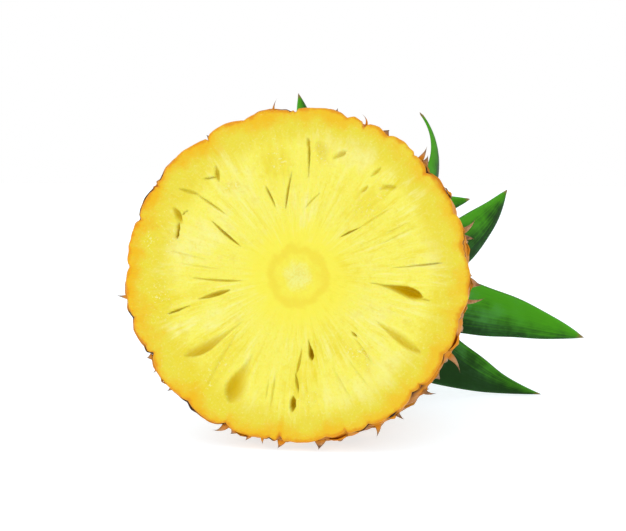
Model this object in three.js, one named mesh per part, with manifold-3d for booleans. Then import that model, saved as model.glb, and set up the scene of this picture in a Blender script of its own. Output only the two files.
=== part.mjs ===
// The upper half of a pineapple, cut across its middle and laid on its side with its crown on.
// Lengths are in millimetres, angles in degrees, +Z is up. The cut face looks along -Y.
// The origin is on the table, under the middle of the eye on the belly that the fruit rests on.
//
// The fruit is drawn standing on its cut face, growing along its own +Z, and then laid down:
// its axis ends up in the YZ plane, with the crown end a little lower than the cut.

import * as THREE from "three";
import { mergeVertices } from "three/addons/utils/BufferGeometryUtils.js";
import Module from "manifold-3d";

// ---- Fruit ----
const CUT_WIDTH = 124; // across the cut face, side to side over the eyes
const CUT_HEIGHT = 119; // across the cut face, top to bottom over the eyes
const FRUIT_LENGTH = 96; // from the cut to the foot of the crown
const BARREL = 3; // exponent of the outline: 2 is an ellipse, higher is squarer
const EYE_SPACING = 19; // between neighbouring eyes on the rind
const EYE_HEIGHT = 3.6; // of an eye's middle above the grooves round it
const GROOVE_WIDTH = 4; // over which an eye rises from its groove
const CUT_BEVEL = 1.2; // rounding between the cut face and the rind
const FRUIT_PITCH = 8; // how far the crown end dips when the fruit lies down
const REST_DEPTH = 1.8; // of belly pressed flat against the table

// ---- Crown ----
const LEAF_COUNT = 54;
const LEAF_THICKNESS = 1.9; // at the midrib of a low leaf, near its foot
const LEAF_CLEARANCE = 0.45; // between leaves where one lies over another on the stem
const LEAF_FOOT_GAP = 0.6; // between the stem and the leaves that grow on it
const FIRST_LEAF_HEIGHT = 2.6; // of the lowest leaf's foot above the fruit
const TABLE_GAP = 0.4; // least height of a leaf above the table
const STEM_FOOT_RADIUS = 15;
const STEM_GAP = 0.3; // between the fruit and the stem that grows on it
const SHOULDER_MARGIN = 2; // of level rind round the foot of the stem
const FIRST_TURN = 37; // of the lowest leaf, from the right-hand side downwards
const FOOT_WIDTH = 0.8; // of a leaf where it leaves the stem, as a share of its greatest width
const FOOT_WRAP = 83; // how far round the stem the foot of the highest leaf reaches
const TIP_THICKNESS = 0.4; // of a leaf at its tip, as a share of that at its foot
const LONGEST_RANK = 0.36; // share of the way up the crown where its longest leaves grow
const LENGTH_WANDER = 0.09; // share by which a leaf is longer or shorter than its place asks
const SWEEP_WANDER = 9; // degrees by which a leaf's tip swings to one side or the other

// What a leaf is like at the foot of the crown and at its top: how far it opens from the crown's
// axis, how much further it curls with every millimetre, its length and width, its thickness at
// the midrib near its foot, and how far its edges stand above its midrib.
const LOW_LEAF = { open: 84, curl: 0.3, length: 26, width: 25, thickness: LEAF_THICKNESS, channel: 1.5 };
const TOP_LEAF = { open: 7, curl: 0, length: 45, width: 11, thickness: 0.95, channel: 0.4 };
const LONGEST_LEAF = 88;

// Leaves that grew their own way, by number from the lowest.
const STRAY_LEAVES = {
  9: { turn: 40, length: 92, sweep: -12, width: 24 },
  10: { length: 84, sweep: 6 },
  11: { turn: -37, length: 55, sweep: 0 },
  13: { turn: -112, length: 94, sweep: 0 },
  14: { turn: 7, length: 99, sweep: 2, width: 27 },
  16: { turn: -51, length: 96, sweep: -22 },
  19: { turn: -21, length: 98, sweep: -18, width: 28 },
};

const GOLDEN_ANGLE = Math.PI * (3 - Math.sqrt(5));
const MEAN_RADIUS = (CUT_WIDTH + CUT_HEIGHT) / 4;
const LEAF_STEP = (LEAF_THICKNESS + LEAF_CLEARANCE) / 2; // every second leaf lies over one below
const STEM_LENGTH = FIRST_LEAF_HEIGHT + (LEAF_COUNT - 1) * LEAF_STEP;
const STEM_TOP_RADIUS =
  (TOP_LEAF.width * FOOT_WIDTH) / THREE.MathUtils.degToRad(FOOT_WRAP) - LEAF_FOOT_GAP - LEAF_THICKNESS / 2;
const SHOULDER_RADIUS = STEM_FOOT_RADIUS + SHOULDER_MARGIN;
const UNDERNEATH = Math.PI / 2; // the turn about the standing fruit that ends up at the bottom

// ---- Fineness of the meshes ----
const AROUND = 72; // steps round the rind
const ALONG = 22; // steps from the cut to the crown
const OUTLINE_STEPS = 2000; // in which the outline's length is measured
const EYE_STEPS = 400; // in which the eyes find their places on the outline
const STEM_SIDES = 24;
const LEAF_STATIONS = 8; // cross-sections along a leaf, before its tip
const LEAF_RIBS = [1, 0.55, 0, -0.55, -1]; // places across a leaf, from edge to edge
const MIDLINE_STEPS = 40;

const { lerp, degToRad, radToDeg, smoothstep } = THREE.MathUtils;

const wasm = await Module();
wasm.setup();

const rindMaterial = new THREE.MeshStandardMaterial({ color: 0xd9982b, roughness: 0.6, metalness: 0 });
const stemMaterial = new THREE.MeshStandardMaterial({ color: 0xc9cf8a, roughness: 0.7, metalness: 0 });
const leafMaterial = new THREE.MeshStandardMaterial({ color: 0x3f7a22, roughness: 0.45, metalness: 0 });

// ---- Solids ----

function geometryOf(points, triangles) {
  const geometry = new THREE.BufferGeometry();
  geometry.setAttribute("position", new THREE.Float32BufferAttribute(points.flat(), 3));
  geometry.setIndex(triangles.flat());
  return geometry;
}

function solidOf(geometry) {
  const bare = geometry.clone();
  bare.deleteAttribute("normal");
  bare.deleteAttribute("uv");
  const merged = mergeVertices(bare, 1e-4);
  return new wasm.Manifold(
    new wasm.Mesh({
      numProp: 3,
      vertProperties: new Float32Array(merged.attributes.position.array),
      triVerts: new Uint32Array(merged.index.array),
    }),
  );
}

function geometryOfSolid(solid) {
  const mesh = solid.getMesh();
  const geometry = new THREE.BufferGeometry();
  geometry.setAttribute("position", new THREE.BufferAttribute(mesh.vertProperties, 3));
  geometry.setIndex(new THREE.BufferAttribute(mesh.triVerts, 1));
  return geometry;
}

// Rings of one even size joined into a closed skin. The last ring closes on one point, and the
// first is laced shut from side to side, so that its cap bends as the ring does.
function closedSkin(rings, lastPoint) {
  const size = rings[0].length;
  const points = [...rings.flat(), lastPoint];
  const last = points.length - 1;
  const triangles = [];
  const half = size / 2;
  for (let k = 1; k < half; k++) {
    triangles.push([k - 1, size - k, k]);
    if (k > 1) triangles.push([k - 1, size - k + 1, size - k]);
  }
  triangles.push([half - 1, half + 1, half]);
  for (let k = 0; k < size; k++) {
    const next = (k + 1) % size;
    for (let r = 0; r + 1 < rings.length; r++) {
      const low = r * size;
      const high = low + size;
      triangles.push([low + k, low + next, high + next], [low + k, high + next, high + k]);
    }
    const top = (rings.length - 1) * size;
    triangles.push([last, top + k, top + next]);
  }
  return geometryOf(points, triangles);
}

// ---- Fruit body ----

// Share of the cut's radius at a height above the cut.
function outline(height) {
  const share = Math.min(height / FRUIT_LENGTH, 1);
  return (1 - share ** BARREL) ** (1 / BARREL);
}

// Points of the outline at even steps of length along it, up to the shoulder that the crown
// stands on, and the area of rind below each.
function walkOutline(steps) {
  const walk = [{ height: 0, radius: MEAN_RADIUS, length: 0, area: 0 }];
  for (let i = 1; i <= OUTLINE_STEPS; i++) {
    const height = FRUIT_LENGTH * Math.sin((i / OUTLINE_STEPS) * (Math.PI / 2));
    const radius = MEAN_RADIUS * outline(height);
    const before = walk.at(-1);
    const step = Math.hypot(height - before.height, radius - before.radius);
    walk.push({
      height,
      radius,
      length: before.length + step,
      area: before.area + Math.PI * (radius + before.radius) * step,
    });
    if (radius < SHOULDER_RADIUS) break;
  }
  return Array.from({ length: steps + 1 }, (_, i) => {
    const wanted = (walk.at(-1).length * i) / steps;
    return walk.find((w) => w.length >= wanted) ?? walk.at(-1);
  });
}

// How far a point of the outline hangs below the fruit's axis when the fruit lies down.
const hang = ({ height, radius }) =>
  radius * Math.cos(degToRad(FRUIT_PITCH)) + height * Math.sin(degToRad(FRUIT_PITCH));

// Eye centres wound up the rind at the golden angle, one for each equal share of its area, with
// a round of them beyond the cut, whose edges still show at the rim. They are turned together so
// that the eye nearest the belly's lowest point lies exactly underneath.
function eyeCentres() {
  const walk = walkOutline(EYE_STEPS);
  const eyeArea = EYE_SPACING ** 2 * (Math.sqrt(3) / 2);
  const cutAway = Math.ceil((2 * Math.PI * MEAN_RADIUS) / EYE_SPACING);
  const count = Math.floor(walk.at(-1).area / eyeArea) + 1;
  const eyes = Array.from({ length: cutAway + count }, (_, i) => {
    const k = i - cutAway;
    const beyondCut = { ...walk[0], length: (k * eyeArea) / (2 * Math.PI * MEAN_RADIUS) };
    const at = k < 0 ? beyondCut : (walk.find((w) => w.area >= k * eyeArea) ?? walk.at(-1));
    return { ...at, turn: k * GOLDEN_ANGLE };
  });
  const resting = eyes.reduce((best, eye) => (hang(eye) > hang(best) ? eye : best));
  const shift = UNDERNEATH - resting.turn;
  return { eyes: eyes.map((eye) => ({ ...eye, turn: eye.turn + shift })), resting };
}

// Height of the rind above its grooves: each eye is a low dome that ends where the next begins.
function eyeRise(eyes, turn, length, radius) {
  let nearest = Infinity;
  let second = Infinity;
  for (const eye of eyes) {
    const swing = Math.acos(Math.cos(turn - eye.turn));
    const across = swing * Math.min(radius, eye.radius);
    const distance = Math.hypot(across, length - eye.length);
    if (distance < nearest) [nearest, second] = [distance, nearest];
    else if (distance < second) second = distance;
  }
  return EYE_HEIGHT * (1 - Math.exp(-(second - nearest) / GROOVE_WIDTH));
}

function fruitGeometry(eyes) {
  const rings = walkOutline(ALONG).map(({ height, radius, length }) =>
    Array.from({ length: AROUND }, (_, k) => {
      const turn = (k / AROUND) * 2 * Math.PI;
      const sunk = EYE_HEIGHT - eyeRise(eyes, turn, length, radius);
      const grown = radius - sunk;
      return [
        ((grown * CUT_WIDTH) / 2 / MEAN_RADIUS) * Math.cos(turn),
        ((grown * CUT_HEIGHT) / 2 / MEAN_RADIUS) * Math.sin(turn),
        height,
      ];
    }),
  );
  const bevel = 1 - CUT_BEVEL / MEAN_RADIUS;
  const face = rings[0].map(([x, y]) => [x * bevel, y * bevel, 0]);
  for (const point of rings[0]) point[2] = CUT_BEVEL;
  const top = rings.at(-1)[0][2];
  return closedSkin([face, ...rings], [0, 0, top]);
}

// The turn that lays the standing fruit down, crown away from the viewer.
const LAID_DOWN = -Math.PI / 2 - degToRad(FRUIT_PITCH);
const SIDEWAYS = new THREE.Vector3(1, 0, 0);

// The laid fruit, with its belly pressed flat at height 0 and its lowest eye over the origin.
function layFruit() {
  const { eyes, resting } = eyeCentres();
  const laid = fruitGeometry(eyes).rotateX(LAID_DOWN);
  laid.computeBoundingBox();
  const forward = new THREE.Vector3(0, resting.radius, resting.height).applyAxisAngle(SIDEWAYS, LAID_DOWN).y;
  const place = new THREE.Vector3(0, -forward, -laid.boundingBox.min.z - REST_DEPTH);
  laid.translate(...place.toArray());
  const table = new THREE.BoxGeometry(4 * CUT_WIDTH, 4 * FRUIT_LENGTH, CUT_HEIGHT);
  table.translate(0, 0, -CUT_HEIGHT / 2);
  return { body: geometryOfSolid(solidOf(laid).subtract(solidOf(table))), place };
}

// ---- Crown ----

// Radius of the stem at a height above the fruit.
const stemRadius = (height) =>
  lerp(STEM_FOOT_RADIUS, STEM_TOP_RADIUS, Math.min(Math.max(height / STEM_LENGTH, 0), 1));

function stemGeometry() {
  const profile = [
    new THREE.Vector2(0, STEM_GAP),
    new THREE.Vector2(STEM_FOOT_RADIUS, STEM_GAP),
    new THREE.Vector2(STEM_TOP_RADIUS, STEM_LENGTH),
    new THREE.Vector2(0, STEM_LENGTH + STEM_TOP_RADIUS),
  ];
  return new THREE.LatheGeometry(profile, STEM_SIDES).rotateX(Math.PI / 2);
}

// A point of a leaf's midline: it leaves the stem at its open angle off the crown's axis, and
// curls evenly with its length, so that lower leaves always pass outside higher ones.
function midline({ foot, open, curl, length }, share) {
  let radius = foot.radius;
  let height = foot.height;
  let angle = degToRad(open);
  const step = (length * share) / MIDLINE_STEPS;
  for (let i = 0; i < MIDLINE_STEPS; i++) {
    radius += Math.sin(angle) * step;
    height += Math.cos(angle) * step;
    angle += degToRad(curl) * step;
  }
  return { radius, height, angle };
}

// A leaf lies on the surface that its midline sweeps round the crown's axis, so leaves nest
// without touching. Its section is a lens: thick at the midrib, sharp at both edges.
function leafGeometry(leaf) {
  const ringAt = (share) => {
    const { radius, height, angle } = midline(leaf, share);
    const half = (leaf.width / 2) * leafWidth(share);
    const thick = (leaf.thickness / 2) * lerp(1, TIP_THICKNESS, share);
    const swing = degToRad(leaf.sweep) * share ** 1.5;
    const place = (v, side) => {
      const out = side * thick * (1 - v * v);
      const turn = swing + (v * half) / radius;
      const lift = leaf.channel * smoothstep(share, 0.15, 0.6) * v * v;
      const r = radius - Math.cos(angle) * (out + lift);
      const h = height + Math.sin(angle) * (out + lift);
      return [r * Math.cos(turn), r * Math.sin(turn), h];
    };
    const inner = LEAF_RIBS.map((v) => place(v, 1));
    const outer = LEAF_RIBS.slice(1, -1).map((v) => place(v, -1));
    return [...inner, ...outer.reverse()];
  };
  const rings = Array.from({ length: LEAF_STATIONS }, (_, i) => ringAt(i / LEAF_STATIONS));
  const tip = midline(leaf, 1);
  const swing = degToRad(leaf.sweep);
  return closedSkin(rings, [tip.radius * Math.cos(swing), tip.radius * Math.sin(swing), tip.height]);
}

// Width of a leaf along its length, as a share of its greatest width.
const leafWidth = (share) => lerp(FOOT_WIDTH, 1, smoothstep(share, 0, 0.25)) * (1 - share ** 1.9) ** 0.9;

// The leaves from the lowest to the highest: short at the foot of the crown, longest a third of
// the way up, and shorter again towards its heart, where they stand nearly upright.
function crownLeaves() {
  return Array.from({ length: LEAF_COUNT }, (_, i) => {
    const number = i + 1;
    const rank = i / (LEAF_COUNT - 1);
    const height = FIRST_LEAF_HEIGHT + i * LEAF_STEP;
    const spread = (1 - rank ** 1.5) ** 4;
    const lengthening = lerp(LOW_LEAF.length, LONGEST_LEAF, smoothstep(rank, 0, LONGEST_RANK));
    const even = lerp(lengthening, TOP_LEAF.length, smoothstep(rank, LONGEST_RANK, 1));
    return {
      name: `crown_leaf_${String(number).padStart(2, "0")}`,
      turn: FIRST_TURN + i * radToDeg(GOLDEN_ANGLE),
      foot: { radius: stemRadius(height) + LEAF_FOOT_GAP + LEAF_THICKNESS / 2, height },
      open: lerp(TOP_LEAF.open, LOW_LEAF.open, spread),
      curl: lerp(TOP_LEAF.curl, LOW_LEAF.curl, spread),
      channel: lerp(LOW_LEAF.channel, TOP_LEAF.channel, rank),
      length: even * (1 + LENGTH_WANDER * Math.sin(number * number)),
      width: lerp(LOW_LEAF.width, TOP_LEAF.width, rank),
      thickness: lerp(LOW_LEAF.thickness, TOP_LEAF.thickness, rank),
      sweep: SWEEP_WANDER * Math.sin(number * 5),
      ...STRAY_LEAVES[number],
    };
  });
}

// A leaf on the underside stops growing where the table is, so it is as long as the table allows.
function leafAboveTable(leaf, crownPlace) {
  const place = new THREE.Matrix4().makeRotationZ(degToRad(leaf.turn)).premultiply(crownPlace);
  for (let length = leaf.length; ; length *= 0.97) {
    const blade = leafGeometry({ ...leaf, length });
    const placed = blade.clone().applyMatrix4(place);
    placed.computeBoundingBox();
    if (placed.boundingBox.min.z > TABLE_GAP) return blade;
  }
}

// ---- Assembly ----

const { body, place } = layFruit();

const pineapple = new THREE.Group();
const fruit = new THREE.Mesh(body, rindMaterial);
fruit.name = "fruit_body";
pineapple.add(fruit);

const crown = new THREE.Group();
const grown = walkOutline(ALONG).at(-1).height;
crown.position.copy(new THREE.Vector3(0, 0, grown).applyAxisAngle(SIDEWAYS, LAID_DOWN).add(place));
crown.rotation.x = LAID_DOWN;
pineapple.add(crown);

const stem = new THREE.Mesh(stemGeometry(), stemMaterial);
stem.name = "crown_stem";
crown.add(stem);

crown.updateMatrixWorld();
for (const leaf of crownLeaves()) {
  const blade = leafAboveTable(leaf, crown.matrixWorld);
  const mesh = new THREE.Mesh(blade, leafMaterial);
  mesh.name = leaf.name;
  mesh.rotation.z = degToRad(leaf.turn);
  crown.add(mesh);
}

export default pineapple;
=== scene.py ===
"""The upper half of a pineapple, cut across and laid on its side with its crown on.

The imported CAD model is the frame: it says where the fruit lies and where its crown stands. The
fruit is worked out standing on its cut face and growing along +Z, and is then laid down where the
frame's fruit lies. Lengths are in metres and angles in degrees, unless a name says otherwise.
Turns about the fruit's axis start at its right-hand side and pass underneath first.
"""

from collections import namedtuple

import bpy
import numpy as np
from bpy.props import FloatProperty, FloatVectorProperty, IntProperty, PointerProperty
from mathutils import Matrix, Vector


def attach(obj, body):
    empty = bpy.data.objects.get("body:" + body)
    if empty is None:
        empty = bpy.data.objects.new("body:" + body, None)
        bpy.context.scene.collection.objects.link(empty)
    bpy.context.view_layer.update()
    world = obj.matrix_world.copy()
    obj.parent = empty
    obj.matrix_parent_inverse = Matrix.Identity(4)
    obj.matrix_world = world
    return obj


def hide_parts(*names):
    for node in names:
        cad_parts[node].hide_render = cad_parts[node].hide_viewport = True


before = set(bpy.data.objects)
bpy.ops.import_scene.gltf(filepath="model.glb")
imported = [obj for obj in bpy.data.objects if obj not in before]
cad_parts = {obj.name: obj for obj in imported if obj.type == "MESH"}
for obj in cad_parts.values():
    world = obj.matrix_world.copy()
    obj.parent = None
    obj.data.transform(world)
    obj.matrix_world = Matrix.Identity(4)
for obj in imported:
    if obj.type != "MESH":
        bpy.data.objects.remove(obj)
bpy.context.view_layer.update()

bl_info = {
    "name": "Halved pineapple",
    "version": (1, 0, 0),
    "blender": (4, 5, 0),
    "location": "3D View > Sidebar > Pineapple",
    "description": "Makes the flesh, rind, bracts and crown of a halved pineapple, and its studio",
    "category": "Object",
}

MM = 0.001
GOLDEN_ANGLE = np.pi * (3 - np.sqrt(5))
UNDERNEATH = np.pi / 2  # the turn that ends up at the bottom when the fruit lies down
CORE_ASIDE = 1 * MM  # of the core, off the middle of the fruit
SLIMMING = 2.4 * MM  # of the rind behind the cut, except underneath

# How fine the meshes are
FACE_STEPS, FACE_RINGS, EDGE_RINGS = 700, 128, 4
RIND_STEPS, RIND_RINGS = 560, 148
STEM_STEPS, STEM_RINGS, CAP_RINGS = 96, 60, 7
BRACT_STATIONS, BRACT_RIBS = 8, 5
LEAF_STATIONS, LEAF_RIBS = 64, 15
WALK_STEPS = 4  # of a leaf's midline between two stations


def tint(code):
    """Linear red, green and blue of a colour written as six hex digits."""
    coded = np.array([int(code[i : i + 2], 16) for i in (0, 2, 4)]) / 255
    linear = np.where(coded <= 0.04045, coded / 12.92, ((coded + 0.055) / 1.055) ** 2.4)
    return tuple(float(part) for part in linear)


def length_property(name, description, default):
    """A length in metres that a user may change."""
    return FloatProperty(
        name=name, description=description, default=default, min=0, unit="LENGTH", precision=5
    )


def angle_property(name, description, degrees):
    """An angle that a user may change, given in degrees."""
    return FloatProperty(name=name, description=description, default=np.radians(degrees), subtype="ANGLE")


def amount_property(name, description, default, least=0):
    """A plain number that a user may change."""
    return FloatProperty(name=name, description=description, default=default, min=least)


def colour_property(name, description, code):
    """A colour that a user may change, given as six hex digits."""
    return FloatVectorProperty(
        name=name, description=description, default=tint(code), min=0, max=1, size=3, subtype="COLOR"
    )


# ---- Sizes and colours ----


class FruitSizes(bpy.types.PropertyGroup):
    """Sizes of the fruit, down to its shoulder the same as in its CAD model"""

    cut_width: length_property("Cut width", "Across the cut face, side to side over the eyes", 0.124)
    cut_height: length_property("Cut height", "Across the cut face, top to bottom over the eyes", 0.119)
    length: length_property("Length", "From the cut to the foot of the crown", 0.096)
    barrel: amount_property("Barrel", "Exponent of the outline: 2 is an ellipse, higher is squarer", 3, 1)
    pitch: angle_property("Pitch", "How far the crown end dips", 8)
    eye_spacing: length_property("Eye spacing", "Between neighbouring eyes on the rind", 0.019)
    eye_height: length_property("Eye height", "Of an eye's middle above the grooves round it", 0.0036)
    groove_width: length_property("Groove width", "Over which an eye rises from its groove", 0.004)
    shoulder: length_property("Shoulder", "Radius of the level rind under the crown", 0.017)
    bevel: length_property("Cut edge", "Rounding between the cut face and the rind", 0.0012)
    wall: length_property("Rind wall", "Thickness of the rind behind the flesh", 0.0064)
    plug_depth: length_property("Flesh depth", "How far behind the cut the flesh piece reaches", 0.010)


class FleshColours(bpy.types.PropertyGroup):
    """Colours of the cut face, from its core to its edge"""

    core: colour_property("Core", "Middle of the core", "efe982")
    ring: colour_property("Core ring", "Ring round the core", "ebd843")
    inner: colour_property("Inner flesh", "Flesh round the core", "efe34e")
    middle: colour_property("Middle flesh", "Palest flesh, halfway out", "eee45f")
    outer: colour_property("Outer flesh", "Flesh inside the eyes", "e4d240")
    edge: colour_property("Edge", "Flesh just inside the rind", "ebb414")
    lip: colour_property("Lip", "Last two millimetres under the rind", "dc8410")
    # Painted shade: the flesh is painted darker gold towards the bottoms of the hollows.
    deep: colour_property("Deep", "Bottom of the hollows", "dcba08")
    # Also painted as small pale specks in the grainy patches, as painted wet glints.
    pale: colour_property("Fibre", "Pale fibres", "f0ea98")
    juicy: colour_property("Juicy", "Clear golden flesh", "e4cf24")


class RindColours(bpy.types.PropertyGroup):
    """Colours of the rind and its dry bracts"""

    gold: colour_property("Gold", "Ripe skin of an eye", "ac7a22")
    orange: colour_property("Orange", "Ripest skin", "b06014")
    fresh: colour_property("Fresh", "Skin just behind the cut", "dc8a1c")
    green: colour_property("Green", "Unripe skin near the crown", "6f7628")
    groove: colour_property("Groove", "Brown skin in the grooves", "4a2a12")
    scar: colour_property("Scar", "Dry remains of the flower", "3d2312")
    bract: colour_property("Bract", "Papery bract", "bd936c")
    bract_tip: colour_property("Bract tip", "Dry tip of a bract", "47342b")


class CrownSizes(bpy.types.PropertyGroup):
    """Sizes and colours of the crown, the same as in its CAD model"""

    leaf_count: IntProperty(name="Leaves", description="Number of leaves in the crown", default=54, min=1)
    thickness: length_property("Leaf thickness", "Of a low leaf at its midrib, near its foot", 0.0019)
    clearance: length_property("Leaf clearance", "Between leaves that lie one over another", 0.00045)
    foot_gap: length_property("Foot gap", "Between the stem and a leaf's foot", 0.0006)
    first_height: length_property("First leaf", "Height of the lowest leaf above the fruit", 0.0026)
    table_gap: length_property("Table gap", "Least height of a leaf above the table", 0.0004)
    stem_foot: length_property("Stem foot", "Radius of the stem at its foot", 0.015)
    stem_gap: length_property("Stem gap", "Between the fruit and the stem on it", 0.0003)
    longest: length_property("Longest leaf", "Length of the longest leaves", 0.088)
    dark: colour_property("Dark green", "Shaded middle of a leaf", "153c0a")
    bright: colour_property("Bright green", "Sunny parts and tips", "44960a")
    bloom: colour_property("Bloom", "Waxy bloom near a leaf's foot", "5f9470")
    margin: colour_property("Margin", "Thin edge of a leaf", "9fae5c")
    dry: colour_property("Dry tip", "Dry point of a leaf", "8a6a3c")
    stem: colour_property("Stem", "Short stem between the leaves", "b9c088")


class StudioSizes(bpy.types.PropertyGroup):
    """The camera, the lights and the floor"""

    azimuth: angle_property("Azimuth", "Of the camera, from the cut side", 11)
    elevation: angle_property("Elevation", "Of the camera", 5)
    distance: length_property("Distance", "From the camera to the point it looks at", 0.488)
    aim_right: length_property("Aim right", "Of the middle of the cut face", 0.0064)
    aim_up: length_property("Aim up", "Above the middle of the cut face", 0.0037)
    lens: amount_property("Lens", "Focal length in millimetres", 80, 1)
    floor_size: length_property("Floor", "Side of the square floor", 6)
    sky: amount_property("Sky", "Strength of the even light all round", 1.0)
    key: amount_property("Key light", "Power of the large light in watts", 3.0)
    glint: amount_property("Glint light", "Power of the small light in watts", 0.7)
    floor: colour_property("Floor colour", "Plain pale floor", "b0c0ca")
    glow: amount_property("Floor glow", "Strength of the light inside the table", 0.7)


# ---- Meshes ----


def put_mesh(name, points, faces, material, attributes=None):
    """A new smooth-shaded object at the origin from arrays of points and of faces."""
    mesh = bpy.data.meshes.new(name)
    lists = [face for group in faces for face in group.tolist()]
    mesh.from_pydata(points.reshape(-1, 3).tolist(), [], lists)
    for key, values in (attributes or {}).items():
        vector = values.ndim > 1 and values.shape[-1] == 3
        kind, field = ("FLOAT_VECTOR", "vector") if vector else ("FLOAT", "value")
        layer = mesh.attributes.new(key, kind, "POINT")
        layer.data.foreach_set(field, np.ascontiguousarray(values, dtype=np.float32).ravel())
    mesh.materials.append(material)
    mesh.shade_smooth()
    piece = bpy.data.objects.new(name, mesh)
    bpy.context.scene.collection.objects.link(piece)
    return piece


def volume(points, faces):
    """Signed volume inside a closed skin: a sixth of the triple products of its triangles."""
    total = 0
    for group in faces:
        first, second, third = points[group[:, 0]], points[group[:, 1]], points[group[:, 2]]
        total += np.einsum("ij,ij->", first, np.cross(second, third))
        if group.shape[1] == 4:
            fourth = points[group[:, 3]]
            total += np.einsum("ij,ij->", first, np.cross(third, fourth))
    return total / 6


def facing_out(points, faces):
    """The faces of a closed skin, turned round if they face inwards."""
    if volume(points, faces) < 0:
        return [group[:, ::-1] for group in faces]
    return faces


def tube_faces(rings, around):
    """Quads between neighbouring rings of points, each ring joined to itself."""
    ring, step = np.meshgrid(np.arange(rings - 1), np.arange(around), indexing="ij")
    low, following = ring * around, (step + 1) % around
    quads = np.stack([low + step, low + following, low + around + following, low + around + step], -1)
    return quads.reshape(-1, 4)


def fan_faces(start, around, pole, flip):
    """Triangles from a ring of points to one pole."""
    step = np.arange(around)
    following = (step + 1) % around
    fan = np.stack([start + step, start + following, np.full(around, pole)], -1)
    return fan[:, ::-1] if flip else fan


def closed_revolution(rings, first_pole, last_pole):
    """Points and faces of a closed skin: rows of one size, shut at both ends by a point."""
    count, around = rings.shape[:2]
    points = np.concatenate([rings.reshape(-1, 3), [first_pole, last_pole]])
    end = count * around
    faces = [
        tube_faces(count, around),
        np.concatenate(
            [fan_faces(0, around, end, True), fan_faces(end - around, around, end + 1, False)]
        ),
    ]
    return points, facing_out(points, faces)


def blade_faces(stations, size):
    """Faces of a blade: rings of one even size, laced shut at the foot and drawn to a tip point.

    A ring runs over one side from edge to edge and back over the other, so its k-th point from
    the first edge lies opposite its k-th point counted backwards.
    """
    half = size // 2
    k = np.arange(1, half - 1)
    laced = np.stack([k + 1, k, size - k, size - k - 1], -1)
    ends = np.array([[1, 0, size - 1], [half, half - 1, half + 1]])
    tip = fan_faces((stations - 1) * size, size, stations * size, False)
    return [np.concatenate([tube_faces(stations, size), laced]), np.concatenate([ends, tip])]


def blade_sides(ribs):
    """Place across the blade and side of it for each point of a ring, from edge to edge and back."""
    across = np.linspace(1, -1, ribs)
    side = np.ones(ribs)
    return np.concatenate([across, across[-2:0:-1]]), np.concatenate([side, -side[1:-1]])


def eased(x, low, high):
    """0 below low, 1 above high, and a smooth step between them."""
    share = np.clip((x - low) / (high - low), 0, 1)
    return share * share * (3 - 2 * share)


def between(low, high, share):
    return low + (high - low) * share


def wrapped(turn):
    """The same turn between minus and plus half a circle."""
    return (turn + np.pi) % (2 * np.pi) - np.pi


def lattice_noise(seed, x, y, columns, rows):
    """Smooth noise from -1 to 1 over x and y from 0 to 1, which repeats along x.

    Random values stand on a lattice of columns by rows, and each point takes the eased average of
    the four round it.
    """
    values = np.random.default_rng(seed).uniform(-1, 1, (rows + 2, columns))
    across, up = (x % 1) * columns, np.clip(y, 0, 1) * rows
    column, row = np.floor(across).astype(int) % columns, np.floor(up).astype(int)
    right, above = eased(across - np.floor(across), 0, 1), eased(up - row, 0, 1)
    following = (column + 1) % columns
    low = between(values[row, column], values[row, following], right)
    high = between(values[row + 1, column], values[row + 1, following], right)
    return between(low, high, above)


# ---- Frame of the fruit ----


def cad_points(node):
    """The points of a CAD node, one row each."""
    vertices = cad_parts[node].data.vertices
    points = np.empty(len(vertices) * 3)
    vertices.foreach_get("co", points)
    return points.reshape(-1, 3)


Eye = namedtuple("Eye", "turn length radius")


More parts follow.
